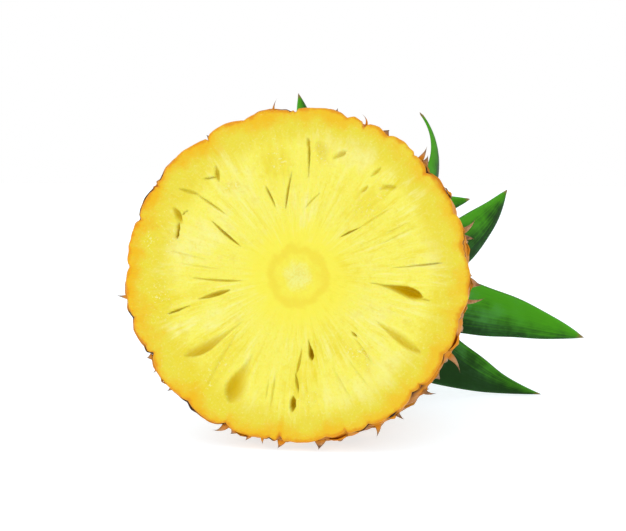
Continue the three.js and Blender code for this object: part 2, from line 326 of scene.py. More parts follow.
class Fruit:
    """The fruit's outline and eyes, and the move that lays it down where the frame has it."""

    outline_steps = 2000
    eye_steps = 400

    def __init__(self, sizes, crown):
        self.sizes = sizes
        self.mean_radius = (sizes.cut_width + sizes.cut_height) / 4
        angle = -np.pi / 2 - sizes.pitch
        cosine, sine = np.cos(angle), np.sin(angle)
        self.laid = np.array([[1, 0, 0], [0, cosine, -sine], [0, sine, cosine]])
        self.angle = angle
        stem = cad_points("crown_stem") @ self.laid
        body = cad_points("fruit_body") @ self.laid
        centre = (stem.min(0) + stem.max(0)) / 2
        self.origin = self.laid @ [centre[0], centre[1], body[:, 2].min()]
        self.shoulder_height = stem[:, 2].min() - crown.stem_gap - body[:, 2].min()
        self.walk_outline()
        self.place_eyes()

    def lay_down(self, points):
        """Points of the standing fruit, turned about X and moved to where the fruit lies."""
        return points @ self.laid.T + self.origin

    def walk_outline(self):
        """Height, radius, length so far and area so far at many steps up the outline.

        The radius is the cut's times the root of one less a power of the share of the height.
        """
        sizes = self.sizes
        height = sizes.length * np.sin(np.linspace(0, np.pi / 2, self.outline_steps + 1))
        share = (height / sizes.length) ** sizes.barrel
        radius = self.mean_radius * (1 - np.minimum(share, 1)) ** (1 / sizes.barrel)
        keep = int(np.argmax(radius < sizes.shoulder)) + 1
        height, radius = height[:keep], radius[:keep]
        step = np.hypot(np.diff(height), np.diff(radius))
        ring = np.pi * (radius[1:] + radius[:-1]) * step
        self.height, self.radius = height, radius
        self.walked = np.concatenate([[0], np.cumsum(step)])
        self.area = np.concatenate([[0], np.cumsum(ring)])

    def place_eyes(self):
        """Eyes wound up the rind at the golden angle, one for each equal share of its area, with
        a round of them beyond the cut, turned so that the one that hangs lowest is underneath."""
        sizes = self.sizes
        area_each = sizes.eye_spacing**2 * np.sqrt(3) / 2
        cut_away = int(np.ceil(2 * np.pi * self.mean_radius / sizes.eye_spacing))
        wanted = self.walked[-1] * np.arange(self.eye_steps + 1) / self.eye_steps
        steps = np.minimum(np.searchsorted(self.walked, wanted), len(self.walked) - 1)
        count = int(self.area[-1] // area_each) + 1
        number = np.arange(-cut_away, count)
        found = np.searchsorted(self.area[steps], number.clip(0) * area_each)
        at = steps[np.minimum(found, self.eye_steps)]
        beyond = number * area_each / (2 * np.pi * self.mean_radius)
        length = np.where(number < 0, beyond, self.walked[at])
        radius = self.radius[at]
        hang = radius * np.cos(sizes.pitch) + self.height[at] * np.sin(sizes.pitch)
        turn = number * GOLDEN_ANGLE
        turn = turn + UNDERNEATH - turn[np.argmax(hang)]
        self.eyes = [Eye(*each) for each in zip(turn, length, radius)]
        self.grown_eyes = self.eyes[cut_away:]

    def outline_at(self, length):
        """Radius and height of the outline, and the two parts of its outward direction."""
        radius = np.interp(length, self.walked, self.radius)
        height = np.interp(length, self.walked, self.height)
        ahead, behind = length + 0.5 * MM, length - 0.5 * MM
        rise = np.interp(ahead, self.walked, self.height) - np.interp(behind, self.walked, self.height)
        run = np.interp(behind, self.walked, self.radius) - np.interp(ahead, self.walked, self.radius)
        slope = np.hypot(rise, run)
        return radius, height, rise / slope, run / slope

    def eye_map(self, turn, length):
        """Distances to the two nearest eyes, and where the nearest one's middle lies.

        Returns how much nearer the nearest is, the place across and along from its middle, and
        its number as a share.
        """
        radius = np.interp(length, self.walked, self.radius)
        nearest = np.full(turn.shape, np.inf)
        second = np.full(turn.shape, np.inf)
        across = np.zeros(turn.shape)
        along = np.zeros(turn.shape)
        owner = np.zeros(turn.shape)
        for number, eye in enumerate(self.eyes):
            aside = wrapped(turn - eye.turn) * np.minimum(radius, eye.radius)
            ahead = length - eye.length
            distance = np.hypot(aside, ahead)
            closer = distance < nearest
            second = np.where(closer, nearest, np.minimum(second, distance))
            nearest = np.where(closer, distance, nearest)
            across = np.where(closer, aside, across)
            along = np.where(closer, ahead, along)
            owner = np.where(closer, number, owner)
        return second - nearest, across, along, (owner * 0.618) % 1

    def sunk(self, margin):
        """Depth below the eyes' tops: deepest in a groove, where both nearest eyes are as near."""
        return self.sizes.eye_height * np.exp(-margin / self.sizes.groove_width)

    def cut_lift(self, turn):
        """Lift of the outline at the cut: half as deep in the grooves as further up, a little off
        the core to one side, uneven, and nicked where the knife caught a bract."""
        margin, _, _, _ = self.eye_map(turn, np.zeros(turn.shape))
        x = turn / (2 * np.pi)
        uneven = 0.5 * lattice_noise(41, x, 0 * x, 19, 1) + 0.34 * lattice_noise(42, x, 0 * x, 67, 1)
        uneven = uneven + 0.2 * lattice_noise(43, x, 0 * x, 171, 1)
        aside = -0.9 * np.cos(turn) - 0.6 * np.sin(turn)
        nicks = 0 * turn
        for nick in NICKS:
            away = wrapped(turn + np.radians(nick.angle)) * self.mean_radius / MM
            nicks = nicks - nick.depth * np.clip(1 - np.abs(away) / nick.width, 0, 1) ** 1.3
        return -0.45 * self.sunk(margin) + MM * (uneven + aside + nicks - 0.2)

    def standing(self, turn, length, lift):
        """A point of the standing fruit at a turn and a length up its outline, lifted off it."""
        radius, height, outward, upward = self.outline_at(length)
        slim = SLIMMING * eased(length, 1 * MM, 20 * MM) * (1 - eased(length, 50 * MM, 80 * MM))
        lift = lift - slim * eased(np.cos(turn - UNDERNEATH), 0.85, 0.4)
        grown = (radius + lift * outward) / self.mean_radius / 2
        x = grown * self.sizes.cut_width * np.cos(turn)
        y = grown * self.sizes.cut_height * np.sin(turn)
        return np.stack([x, y, height + lift * upward], -1)

    def on_table(self, points):
        """Points pressed flat where they would reach below the table."""
        pressed = points.copy()
        pressed[..., 2] = np.maximum(pressed[..., 2], 0)
        return pressed


# ---- Cut flesh ----

# Hollows and slits of the cut face: where each starts and ends, as an angle anticlockwise from
# the right-hand side and a distance from the core in millimetres, its greatest width and depth in
# millimetres, how far along it that is (0 to 1), how gently its walls slope (1 is a dish), and
# how far its deepest line leans to its clockwise side (-1 to 1).
Hollow = namedtuple("Hollow", "angle reach end_angle end_reach width depth fullest soft lean", defaults=[0])
HOLLOW_ROWS = (
    (-3.5, 22.5, -8.9, 45.0, 4.3, 5.0, 0.8, 0.35, -0.5),
    (-9.6, 43.0, -9.6, 48.0, 0.9, 1.2, 0.3, 0.5),
    (5.5, 27.0, 6.3, 51.5, 0.8, 1.6, 0.8, 0.5),
    (42.5, 21.0, 38.3, 28.5, 0.8, 1.8, 0.4, 0.5),
    (38.5, 28.0, 37.0, 42.0, 1.1, 0.7, 0.4, 1.0),
    (54.6, 44.0, 53.6, 49.0, 1.5, 1.3, 0.5, 0.5, 0.4),
    (53.6, 37.5, 53.0, 41.0, 1.5, 1.1, 0.5, 0.5, 0.4),
    (47.5, 42.5, 43.0, 47.5, 3.6, 1.8, 0.6, 0.8, -0.5),
    (74.5, 43.5, 70.0, 48.5, 3.4, 1.8, 0.6, 0.8, 0.5),
    (83.4, 32.0, 86.0, 49.5, 0.9, 2.0, 0.75, 0.5),
    (85.6, 46.0, 86.4, 50.0, 1.3, 1.7, 0.5, 0.5),
    (77.0, 42.0, 81.5, 49.5, 6.0, 1.3, 0.6, 1.0),
    (83.5, 24.5, 74.5, 31.5, 0.9, 0.8, 0.5, 0.8),
    (99.3, 24.5, 93.0, 38.5, 0.75, 1.8, 0.35, 0.5),
    (106.8, 25.0, 109.6, 34.5, 0.75, 1.9, 0.6, 0.5),
    (129.5, 44.0, 126.5, 49.5, 2.6, 2.2, 0.5, 0.8, -0.5),
    (128.5, 45.5, 134.5, 48.5, 1.6, 1.6, 0.4, 0.8),
    (139.2, 33.5, 141.2, 46.5, 0.9, 1.4, 0.5, 0.6),
    (140.6, 45.5, 144.0, 53.0, 1.5, 1.3, 0.4, 0.8),
    (162.5, 44.5, 155.5, 46.5, 5.2, 3.2, 0.45, 0.8, -0.4),
    (155.5, 45.0, 151.5, 50.5, 3.4, 2.6, 0.45, 0.8, 0.4),
    (149.5, 45.5, 152.5, 46.5, 1.6, 1.6, 0.5, 0.8),
    (152.3, 22.0, 147.2, 36.5, 1.0, 2.2, 0.5, 0.4),
    (186.6, 19.0, 182.0, 37.5, 0.9, 1.3, 0.4, 0.5),
    (193.5, 23.5, 195.0, 35.5, 1.9, 2.6, 0.45, 0.5, -0.3),
    (196.9, 36.0, 198.2, 47.5, 0.9, 2.2, 0.75, 0.5),
    (223.5, 22.0, 217.6, 49.0, 5.2, 2.8, 0.76, 0.38, -0.6),
    (243.4, 28.0, 245.4, 51.5, 8.8, 3.2, 0.76, 0.4, 0.66),
    (226.4, 28.0, 233.5, 51.5, 1.5, 0.7, 0.5, 1.0),
    (282.8, 21.5, 282.6, 31.0, 1.8, 4.4, 0.78, 0.35),
    (277.0, 25.0, 271.8, 36.0, 1.0, 1.3, 0.6, 0.7),
    (271.6, 35.0, 273.2, 42.0, 1.0, 2.0, 0.5, 0.5),
    (270.6, 43.0, 270.4, 49.0, 2.2, 4.0, 0.5, 0.4),
    (315.8, 28.0, 315.9, 31.0, 1.0, 1.6, 0.5, 0.5),
    (314.5, 30.5, 311.5, 42.0, 1.3, 0.7, 0.5, 1.0),
    (331.6, 32.0, 329.1, 52.0, 4.2, 2.2, 0.6, 0.5, 0.6),
    (328.8, 46.0, 329.4, 52.0, 1.8, 1.6, 0.5, 0.8),
    (260.5, 36.0, 261.0, 49.0, 0.8, 0.8, 0.5, 0.8),
    (257.5, 38.0, 258.5, 47.0, 0.7, 0.6, 0.5, 0.8),
    (22.0, 31.0, 24.0, 46.0, 0.9, 0.5, 0.5, 1.0),
    (26.5, 34.0, 27.0, 45.0, 0.8, 0.5, 0.5, 1.0),
    (176.0, 26.0, 174.5, 44.0, 0.9, 0.5, 0.5, 1.0),
    (170.5, 32.0, 169.5, 46.0, 0.9, 0.5, 0.5, 1.0),
    (293.0, 33.0, 295.5, 49.0, 0.9, 0.5, 0.6, 1.0),
    (303.0, 34.0, 304.5, 48.0, 0.9, 0.5, 0.6, 1.0),
)
HOLLOWS = [Hollow(*row) for row in HOLLOW_ROWS]

# Nicks in the edge of the cut: angle, depth and half width in millimetres.
Nick = namedtuple("Nick", "angle depth width")
NICK_ROWS = (
    (91.5, 1.6, 0.9),
    (67.3, 1.8, 1.2),
    (47.5, 0.8, 1.0),
    (12.5, 1.0, 1.4),
    (-40.5, 1.3, 1.8),
    (-94.0, 2.2, 1.5),
    (-71.0, 1.2, 0.8),
    (-150.0, 1.4, 1.6),
    (123.5, 1.6, 1.0),
    (147.5, 1.2, 1.2),
    (161.0, 1.0, 1.4),
)
NICKS = [Nick(*row) for row in NICK_ROWS]

# Clear, grainy patches of the face: angle, distance from the core, and the two half sizes, along
# the radius and across it, in millimetres.
Patch = namedtuple("Patch", "angle reach along across")
PATCH_ROWS = (
    (101.5, 41.5, 8.5, 5.5),
    (80.5, 45.0, 6.0, 4.5),
    (46.0, 36.0, 8.0, 4.5),
    (163.0, 50.0, 6.0, 7.5),
    (192.5, 48.0, 5.5, 6.5),
    (126.0, 41.0, 4.0, 3.0),
    (309.0, 37.0, 7.0, 4.0),
    (277.0, 45.0, 6.0, 5.0),
    (234.0, 45.0, 8.0, 3.5),
)
PATCHES = [Patch(*row) for row in PATCH_ROWS]


# Paler and more golden areas of the face: angle, distance from the core and the two half sizes in
# millimetres, and how pale (above 0) or golden (below 0) it is.
Tint = namedtuple("Tint", "angle reach along across tone")
TINT_ROWS = (
    (122, 38, 10, 11, 0.8),
    (102, 42, 8, 6, -1.0),
    (167, 40, 9, 10, 0.9),
    (152, 33, 7, 8, 0.7),
    (192, 35, 10, 5, -1.0),
    (190, 49, 6, 6, -0.5),
    (209, 32, 8, 7, 0.8),
    (230, 41, 12, 5, -0.9),
    (222, 52, 5, 12, -0.6),
    (80, 50, 5, 8, 0.7),
    (63, 49, 7, 9, 0.9),
    (48, 35, 9, 6, -0.9),
    (28, 40, 8, 4, -0.8),
    (8, 46, 7, 7, 0.7),
    (8, 18, 7, 8, -0.7),
    (-28, 32, 8, 7, 0.9),
    (-46, 45, 8, 10, 0.8),
    (-60, 27, 9, 7, -0.8),
    (-68, 46, 7, 9, 0.7),
    (-86, 35, 9, 5, -0.9),
    (-108, 46, 9, 7, 0.4),
    (90, 26, 7, 9, 0.7),
    (-15, 50, 5, 9, -0.5),
)
TINTS = [Tint(*row) for row in TINT_ROWS]


def tint_share(turn, reach):
    """How pale or golden a point is: the sum of the tints, each fading as a bell curve."""
    tone = np.zeros(turn.shape)
    for area in TINTS:
        aside = wrapped(turn + np.radians(area.angle)) * reach / MM / area.across
        ahead = (reach / MM - area.reach) / area.along
        tone += area.tone * np.exp(-(aside**2) - ahead**2)
    return tone


def denser_turns(count):
    """Turns round the face, closer together where a hollow lies along the radius.

    They cut into even shares the running sum of a weight: one, and a bell curve at each hollow
    that is higher where the hollow is narrow.
    """
    fine = np.linspace(0, 2 * np.pi, 7201)
    weight = np.ones(fine.shape)
    for hollow in HOLLOWS:
        middle = -np.radians((hollow.angle + hollow.end_angle) / 2)
        narrow = 1.0 / (0.6 + hollow.width)
        weight += narrow * np.exp(-((wrapped(fine - middle) / np.radians(3.5)) ** 2))
    travelled = np.concatenate([[0], np.cumsum((weight[1:] + weight[:-1]) / 2)])
    return np.interp(np.arange(count) / count, travelled / travelled[-1], fine)


def hollow_depth(turn, reach):
    """Depth of the hollows at a turn and a distance from the core.

    Along a hollow its half width swells and ebbs as a sine, and across it the depth is a power of
    one less the square of the distance from its deepest line.
    """
    depth = np.zeros(turn.shape)
    for hollow in HOLLOWS:
        share = (reach / MM - hollow.reach) / (hollow.end_reach - hollow.reach)
        inside = np.clip(share, 0, 1)
        swell = np.sin(np.pi * inside ** (np.log(0.5) / np.log(hollow.fullest)))
        middle = -np.radians(between(hollow.angle, hollow.end_angle, inside))
        half = np.maximum(hollow.width / 2 * swell**0.75, 1e-3)
        off = wrapped(turn - middle) * reach / MM / half - hollow.lean
        off = off / np.where(off < 0, 1 + hollow.lean, 1 - hollow.lean)
        soft = hollow.soft + 1.6 * abs(hollow.lean) * (off * hollow.lean < 0)
        dish = np.clip(1 - off**2, 0, 1) ** soft
        depth = np.maximum(depth, hollow.depth * MM * dish * swell**0.6)
    return depth


def patch_share(turn, reach):
    """How far a point lies inside a grainy patch, from 0 to 1: a bell curve with a flat top."""
    share = np.zeros(turn.shape)
    for patch in PATCHES:
        aside = wrapped(turn + np.radians(patch.angle)) * reach / MM / patch.across
        ahead = (reach / MM - patch.reach) / patch.along
        share = np.maximum(share, np.exp(-((aside**2 + ahead**2) ** 1.3)))
    return share


def flesh_relief(turn, reach, grain):
    """Small relief of the cut: fibres along the radius, soft swells, and pimples in the patches."""
    x, y = turn / (2 * np.pi), reach / (65 * MM)
    zone = eased(reach, 14 * MM, 26 * MM) * (1 - eased(reach, 50 * MM, 58 * MM))
    bent = x + 0.004 * lattice_noise(11, x, y, 30, 8)
    fibres = lattice_noise(12, bent, y, 150, 9) + 0.6 * lattice_noise(13, bent, y, 330, 14)
    swells = lattice_noise(14, x, y, 40, 10)
    pimples = lattice_noise(15, x, y, 300, 50)
    core_zone = (1 - eased(reach, 7 * MM, 13 * MM)) * eased(reach, 1 * MM, 5 * MM)
    core = lattice_noise(16, x, y, 24, 40) * core_zone
    return MM * (zone * (0.13 * fibres + 0.22 * swells) + 0.3 * grain * pimples + 0.06 * core)


def flesh_piece(fruit, colours):
    """The cut flesh: a plug in the rind with its edge laid over the rind's end.

    The face is rings about the core that grow into the lumpy outline, sunk by the hollows and
    the relief. A quarter round leads over the edge, and plain rings close the plug behind.
    """
    sizes = fruit.sizes
    turn = denser_turns(FACE_STEPS)[None, :]
    rim = fruit.mean_radius + fruit.cut_lift(turn)
    start = 1.4 * MM
    share = np.linspace(0, 1, FACE_RINGS)[:, None]
    mean = fruit.mean_radius - 1.5 * MM
    reach = between(start, mean, share) + (rim - sizes.bevel - mean) * share**7
    turns = np.broadcast_to(turn, reach.shape)
    plain = reach * fruit.mean_radius / between(fruit.mean_radius, rim, share**7)
    grain = patch_share(turns, plain)
    hollow = hollow_depth(turns, plain)
    sink = hollow + flesh_relief(turns, plain, grain)
    sink *= 1 - eased(share, 0.97, 1)
    swing = np.linspace(0, np.pi / 2, EDGE_RINGS + 1)[1:, None]
    edge_reach = rim - sizes.bevel * (1 - np.sin(swing))
    edge_sink = sizes.bevel * (1 - np.cos(swing)) + 0 * rim
    flange = sizes.bevel + 0.1 * MM
    seat = rim - sizes.wall - 0.15 * MM
    back_reach = np.concatenate([rim - 0.05 * MM, seat, seat, seat * 0.5])
    back_sink = np.array([flange, flange, sizes.plug_depth, sizes.plug_depth])[:, None] + 0 * rim
    reach = np.concatenate([reach, edge_reach, back_reach])
    sink = np.concatenate([sink, edge_sink, back_sink])
    scaled = reach / fruit.mean_radius / 2
    rings = np.stack(
        [scaled * sizes.cut_width * np.cos(turn), scaled * sizes.cut_height * np.sin(turn), sink], -1
    )
    points, faces = closed_revolution(rings, [0, 0, 0], [0, 0, sizes.plug_depth])
    spare = np.zeros((len(reach) - FACE_RINGS) * FACE_STEPS + 2)
    attributes = {
        # Depth of the hollows, which sets how much painted shade their flesh gets.
        "hollow": np.concatenate([hollow.ravel() / (6 * MM), spare]),
        "grain": np.concatenate([grain.ravel(), spare]),
        "tint": np.concatenate([tint_share(turns, plain).ravel(), spare]),
        "inset": np.concatenate([((rim - reach) / MM).ravel(), [50, 50]]),
    }
    return put_mesh("cut_flesh", fruit.lay_down(points), faces, flesh_material(fruit, colours), attributes)


# ---- Rind ----


def rind_lift(fruit, turn, length):
    """Height of the rind off the plain outline, with how far out of the grooves a point is.

    Each eye is a dome that falls away to the grooves round it. Its middle has a shallow dimple
    with the flower's dry stub in it, and fine wrinkles run out from there.
    """
    margin, across, along, tone = fruit.eye_map(turn, length)
    sunk = fruit.sunk(margin)
    distance = np.hypot(across, along) / MM
    bearing = np.arctan2(along, across) / (2 * np.pi) + tone
    wrinkles = lattice_noise(21, bearing, np.clip(distance / 14, 0, 1), 26, 5)
    stub = 0.9 * np.exp(-((distance / 1.5) ** 2)) - 0.7 * np.exp(-((distance / 3.6) ** 2))
    rough = lattice_noise(22, turn / (2 * np.pi), length / (0.14), 190, 60)
    raised = eased(margin, 0, 5 * MM)
    lift = -sunk + MM * (0.22 * wrinkles * eased(distance, 2, 5) + stub * raised + 0.12 * rough)
    return lift, 1 - sunk / fruit.sizes.eye_height, across, along, tone


def rind_piece(fruit, colours):
    """The rind: a cup that holds the flesh, its lip, the eyes along the outline and the shoulder."""
    sizes = fruit.sizes
    turn = np.linspace(0, 2 * np.pi, RIND_STEPS, endpoint=False)[None, :]
    lip = sizes.bevel + 0.15 * MM
    length = np.linspace(lip, fruit.walked[-1], RIND_RINGS)[:, None]
    turns, lengths = np.broadcast_arrays(turn, length)
    lift, raised, across, ahead, tone = rind_lift(fruit, turns, lengths)
    x = turn / (2 * np.pi)
    proud = 0.1 + 0.7 * lattice_noise(44, x, 0 * x, 29, 1) + 0.3 * lattice_noise(45, x, 0 * x, 131, 1)
    rim_lift = fruit.cut_lift(turn) + MM * proud
    lift = between(rim_lift, lift, eased(lengths, lip, 6 * MM))
    outside = fruit.standing(turns, lengths, lift)
    scale = np.array([sizes.cut_width, sizes.cut_height]) / 2 / fruit.mean_radius
    circle = np.stack([np.cos(turn[0]) * scale[0], np.sin(turn[0]) * scale[1]], -1)
    inner = (fruit.mean_radius + rim_lift[0] - sizes.wall)[:, None] * circle

    def level(ring, height):
        return np.concatenate([ring, np.full((RIND_STEPS, 1), height)], 1)[None]

    floor = sizes.plug_depth + 0.2 * MM
    cup = [level(inner * 0.5, floor), level(inner, floor), level(inner, lip + 2 * MM), level(inner, lip)]
    top = outside[-1]
    height = top[:, 2].mean()
    shoulder = [level(top[:, :2] * 0.7, height), level(top[:, :2] * 0.35, height)]
    rings = np.concatenate([*cup, outside, *shoulder])
    points, faces = closed_revolution(rings, [0, 0, floor], [0, 0, height])
    before, after = len(cup) * RIND_STEPS, len(shoulder) * RIND_STEPS + 2
    pad = ((before, after),)
    eye = np.stack([across.ravel(), ahead.ravel(), tone.ravel()], -1)
    attributes = {
        "raised": np.pad(raised.ravel(), pad),
        "eye": np.pad(eye, (pad[0], (0, 0))),
        "ripeness": np.pad(1 - lengths.ravel() / fruit.walked[-1], pad),
    }
    laid = fruit.on_table(fruit.lay_down(points))
    return put_mesh("fruit_rind", laid, faces, rind_material(fruit, colours), attributes)


# ---- Bracts ----

# Bracts of the eyes that the knife went through, which stand out round the rim. Each row has its
# angle anticlockwise from the right-hand side, how far behind the cut it grows, its length and
# the width of its foot in millimetres, and how far its tip bends to one side and towards the cut.
RIM_BRACTS = (
    (99.6, 2.6, 6.1, 1.2, 26, 4),
    (78.2, 2.6, 3.1, 2.3, 8, 10),
    (67.2, 3.0, 5.0, 0.9, -62, 4),
    (60.5, 3.5, 2.6, 3.6, 30, 6),
    (45.6, 5.0, 5.9, 2.2, -20, 4),
    (43.4, 5.0, 4.0, 3.0, -30, 4),
    (17.0, 7.0, 7.0, 2.2, -34, 0),
    (14.6, 7.5, 4.2, 2.4, 24, 6),
    (-1.0, 7.0, 5.2, 4.0, 16, 8),
    (-7.6, 8.0, 7.4, 1.7, -26, 0),
    (-27.0, 6.0, 8.0, 2.4, 34, 6),
    (-42.0, 6.0, 5.9, 1.9, -44, 6),
    (-53.5, 5.0, 4.2, 1.9, -20, 2),
    (-60.5, 3.4, 5.3, 2.6, 40, 4),
    (-93.5, 2.0, 3.2, 3.0, 30, 2),
    (-100.0, 1.6, 2.4, 1.2, -20, 4),
    (-104.5, 1.6, 2.8, 2.2, 26, 8),
    (-109.5, 1.6, 2.6, 3.6, 40, 4),
    (-117.5, 1.6, 2.4, 2.8, 50, 8),
    (-80.5, 2.6, 3.5, 4.0, 22, 10),
    (-113.5, 2.6, 5.9, 2.6, 62, 4),
    (-136.0, 2.0, 3.1, 1.9, 12, 8),
    (-144.5, 2.0, 3.3, 1.3, -14, 4),
    (-149.0, 2.4, 2.4, 2.9, 24, 4),
    (-171.5, 1.8, 6.4, 2.2, 16, 6),
    (114.5, 2.4, 2.0, 2.9, 30, 6),
    (123.0, 2.4, 2.2, 1.9, -18, 6),
    (135.0, 2.4, 1.8, 2.9, 14, 4),
)

BRACT_HALF_WIDTH = 4.2 * MM
BRACT_LENGTH = 13.5 * MM
BRACT_BELOW = 8.2 * MM  # of a bract's foot, from the middle of its eye towards the cut


def bract_width(share):
    """Half width of a bract along it: a broad foot that narrows soon to a long thin tip."""
    return (1 - share) ** 1.7 * (1 + 1.4 * share) + 0.08 * (1 - share)


def eye_bract_points(fruit):
    """Bracts of the whole eyes: each hugs the lower half of its eye and its tip stands off it.

    A bract follows the rind up its eye, a lens in section, narrowing as bract_width says. From
    its middle on it leaves the grooves, and then lifts off with an eased power of its length.
    """
    eyes = fruit.grown_eyes
    count = len(eyes)
    draw = np.random.default_rng(31).uniform(-1, 1, (5, count, 1, 1))
    turn = np.array([eye.turn for eye in eyes])[:, None, None]
    length = np.array([eye.length for eye in eyes])[:, None, None]
    radius = np.array([eye.radius for eye in eyes])[:, None, None]
    small = 0.55 + 0.45 * eased(radius, 25 * MM, 50 * MM)
    share = np.append(np.arange(BRACT_STATIONS) / BRACT_STATIONS, 1.0)[None, :, None]
    across, side = blade_sides(BRACT_RIBS)
    small = small * between(0.72, 1, eased(length, 14 * MM, 36 * MM))
    half = small * BRACT_HALF_WIDTH * (1 + 0.15 * draw[0]) * bract_width(share)
    long = small * (BRACT_LENGTH + 2 * MM * draw[1])
    ahead = -BRACT_BELOW * small + long * share
    aside = across * half + MM * draw[2] * 2.2 * share**3
    thick = MM * 0.28 * (1 - across**2) * (1 - 0.6 * share)
    free = between(0.35, 1, eased(length, 14 * MM, 40 * MM))
    stand = MM * small * free * (1.9 + 1.2 * draw[3]) * eased(share, 0.45, 1.05) ** 1.3
    sink = MM * 0.5 * across**2 * (1 - share)
    where = np.maximum(length + ahead, 0.4 * MM)
    turned = turn + aside / np.maximum(radius, 12 * MM)
    ground, _, _, _, eye_tone = rind_lift(fruit, *np.broadcast_arrays(turned, where))
    ease = eased(share, 0.1, 0.5)
    middle = np.broadcast_to(ground, turned.shape)
    calm = np.maximum(middle, -1.6 * MM)
    lift = between(middle, calm, ease) + 0.25 * MM + stand - sink + side * thick
    points = fruit.lay_down(fruit.standing(turned, where, lift))
    plain = [share, (draw[4] + 1) / 2, eye_tone, 1 - where / fruit.walked[-1]]
    return points, *(np.broadcast_to(each, turned.shape) for each in plain)


def rim_bract_points(fruit):
    """Bracts round the rim: each stands out from the rind behind the cut and bends as an arc.

    The way out, to the side and towards the cut are the cosine and sines of half the angle bent
    so far, times the length so far.
    """
    table = np.array(RIM_BRACTS)[:, :, None, None]
    angle, behind, long, width, aside, forward = (table[:, k] for k in range(6))
    share = np.append(np.arange(BRACT_STATIONS) / BRACT_STATIONS, 1.0)[None, :, None]
    across, side = blade_sides(BRACT_RIBS)
    foot_turn = -np.radians(angle)
    foot = fruit.standing(*np.broadcast_arrays(foot_turn, behind * MM, -1.4 * MM))
    outward = np.stack(np.broadcast_arrays(np.cos(foot_turn), np.sin(foot_turn), 0 * foot_turn), -1)
    round_rim = np.stack(np.broadcast_arrays(-np.sin(foot_turn), np.cos(foot_turn), 0 * foot_turn), -1)
    towards_cut = np.array([0, 0, -1.0])
    bend, lean = np.radians(aside) * 1.6, np.radians(forward) * 1.6
    run = MM * long * share
    sway = run * np.sin(bend * share / 2)
    push = run * np.sin(lean * share / 2)
    out = run * np.cos(bend * share / 2) * np.cos(lean * share / 2)
    half = MM * width / 2 * bract_width(share)
    thick = MM * 0.26 * (1 - across**2) * (1 - 0.6 * share)
    cup = 0.28 * half * across**2
    points = (
        foot
        + out[..., None] * outward
        + (sway + across * half)[..., None] * round_rim
        + (push - side * thick - cup)[..., None] * towards_cut
    )
    shape = points.shape[:-1]
    plain = [0.55 + 0.45 * share, (np.sin(angle * 7) + 1) / 2, 0.5, 1.0]
    return fruit.lay_down(points), *(np.broadcast_to(each, shape) for each in plain)


def bracts_piece(fruit, colours):
    """All bracts as one piece: each a thin blade with a lens for its section."""
    blocks = [eye_bract_points(fruit), rim_bract_points(fruit)]
    points, *plain = (np.concatenate(parts) for parts in zip(*blocks))
    count, stations, size = plain[0].shape
    body = points[:, :-1].reshape(count, -1, 3)
    tip = points[:, -1].mean(1)[:, None]
    points = np.concatenate([body, tip], 1)
    one = facing_out(points[0], blade_faces(stations - 1, size))
    offset = np.arange(count)[:, None, None] * points.shape[1]
    faces = [(group[None] + offset).reshape(-1, group.shape[1]) for group in one]
    points = points.reshape(-1, 3)
    points[:, 2] = np.maximum(points[:, 2], 0.1 * MM)
    attributes = {
        name: np.concatenate([each[:, :-1].reshape(count, -1), each[:, -1, :1]], 1).ravel()
        for name, each in zip(("share", "tone", "eye_tone", "ripeness"), plain)
    }
    return put_mesh("eye_bracts", points, faces, bract_material(fruit, colours), attributes)


# ---- Crown ----

LOW_LEAF = {"open": 84, "curl": 0.3, "length": 0.026, "width": 0.025, "thick": 0.0019, "channel": 0.0015}
TOP_LEAF = {"open": 7, "curl": 0, "length": 0.045, "width": 0.011, "thick": 0.00095, "channel": 0.0004}

# Leaves that grew their own way, by number from the lowest, and their painted shade: how dark they are (0 to
# 1), darkest where a leaf lies low under the fruit.
STRAY_LEAVES = {
    9: {"turn": 40, "length": 0.095, "sweep": -9.5, "width": 0.029, "shade": 1.2, "sag": 0.006},
    10: {"length": 0.084, "sweep": 6},
    11: {"turn": -60, "length": 0.055, "sweep": 21, "shade": 0.25},
    13: {"turn": -112, "length": 0.093, "sweep": 2.6, "shade": 0.0},
    14: {"turn": 6.5, "length": 0.101, "sweep": 4, "width": 0.028, "shade": 0.25},
    16: {"turn": -51.5, "length": 0.093, "sweep": -8, "shade": 0.65, "twist": 56, "hook": -15.5},
    19: {"turn": -21, "length": 0.098, "sweep": -18, "width": 0.028, "shade": 0.5},
}
FIRST_TURN = 37
FOOT_WIDTH = 0.8
FOOT_WRAP = 83
TIP_THICKNESS = 0.4
LONGEST_RANK = 0.36
LENGTH_WANDER = 0.09
SWEEP_WANDER = 9

Leaf = namedtuple(
    "Leaf",
    "number turn foot_radius foot_height open curl length width thick channel sweep shade twist hook sag",
)


def leaf_width(share):
    """Width of a leaf along its length, as a share of its greatest width."""
    return between(FOOT_WIDTH, 1, eased(share, 0, 0.25)) * (1 - share**2.3) ** 0.87


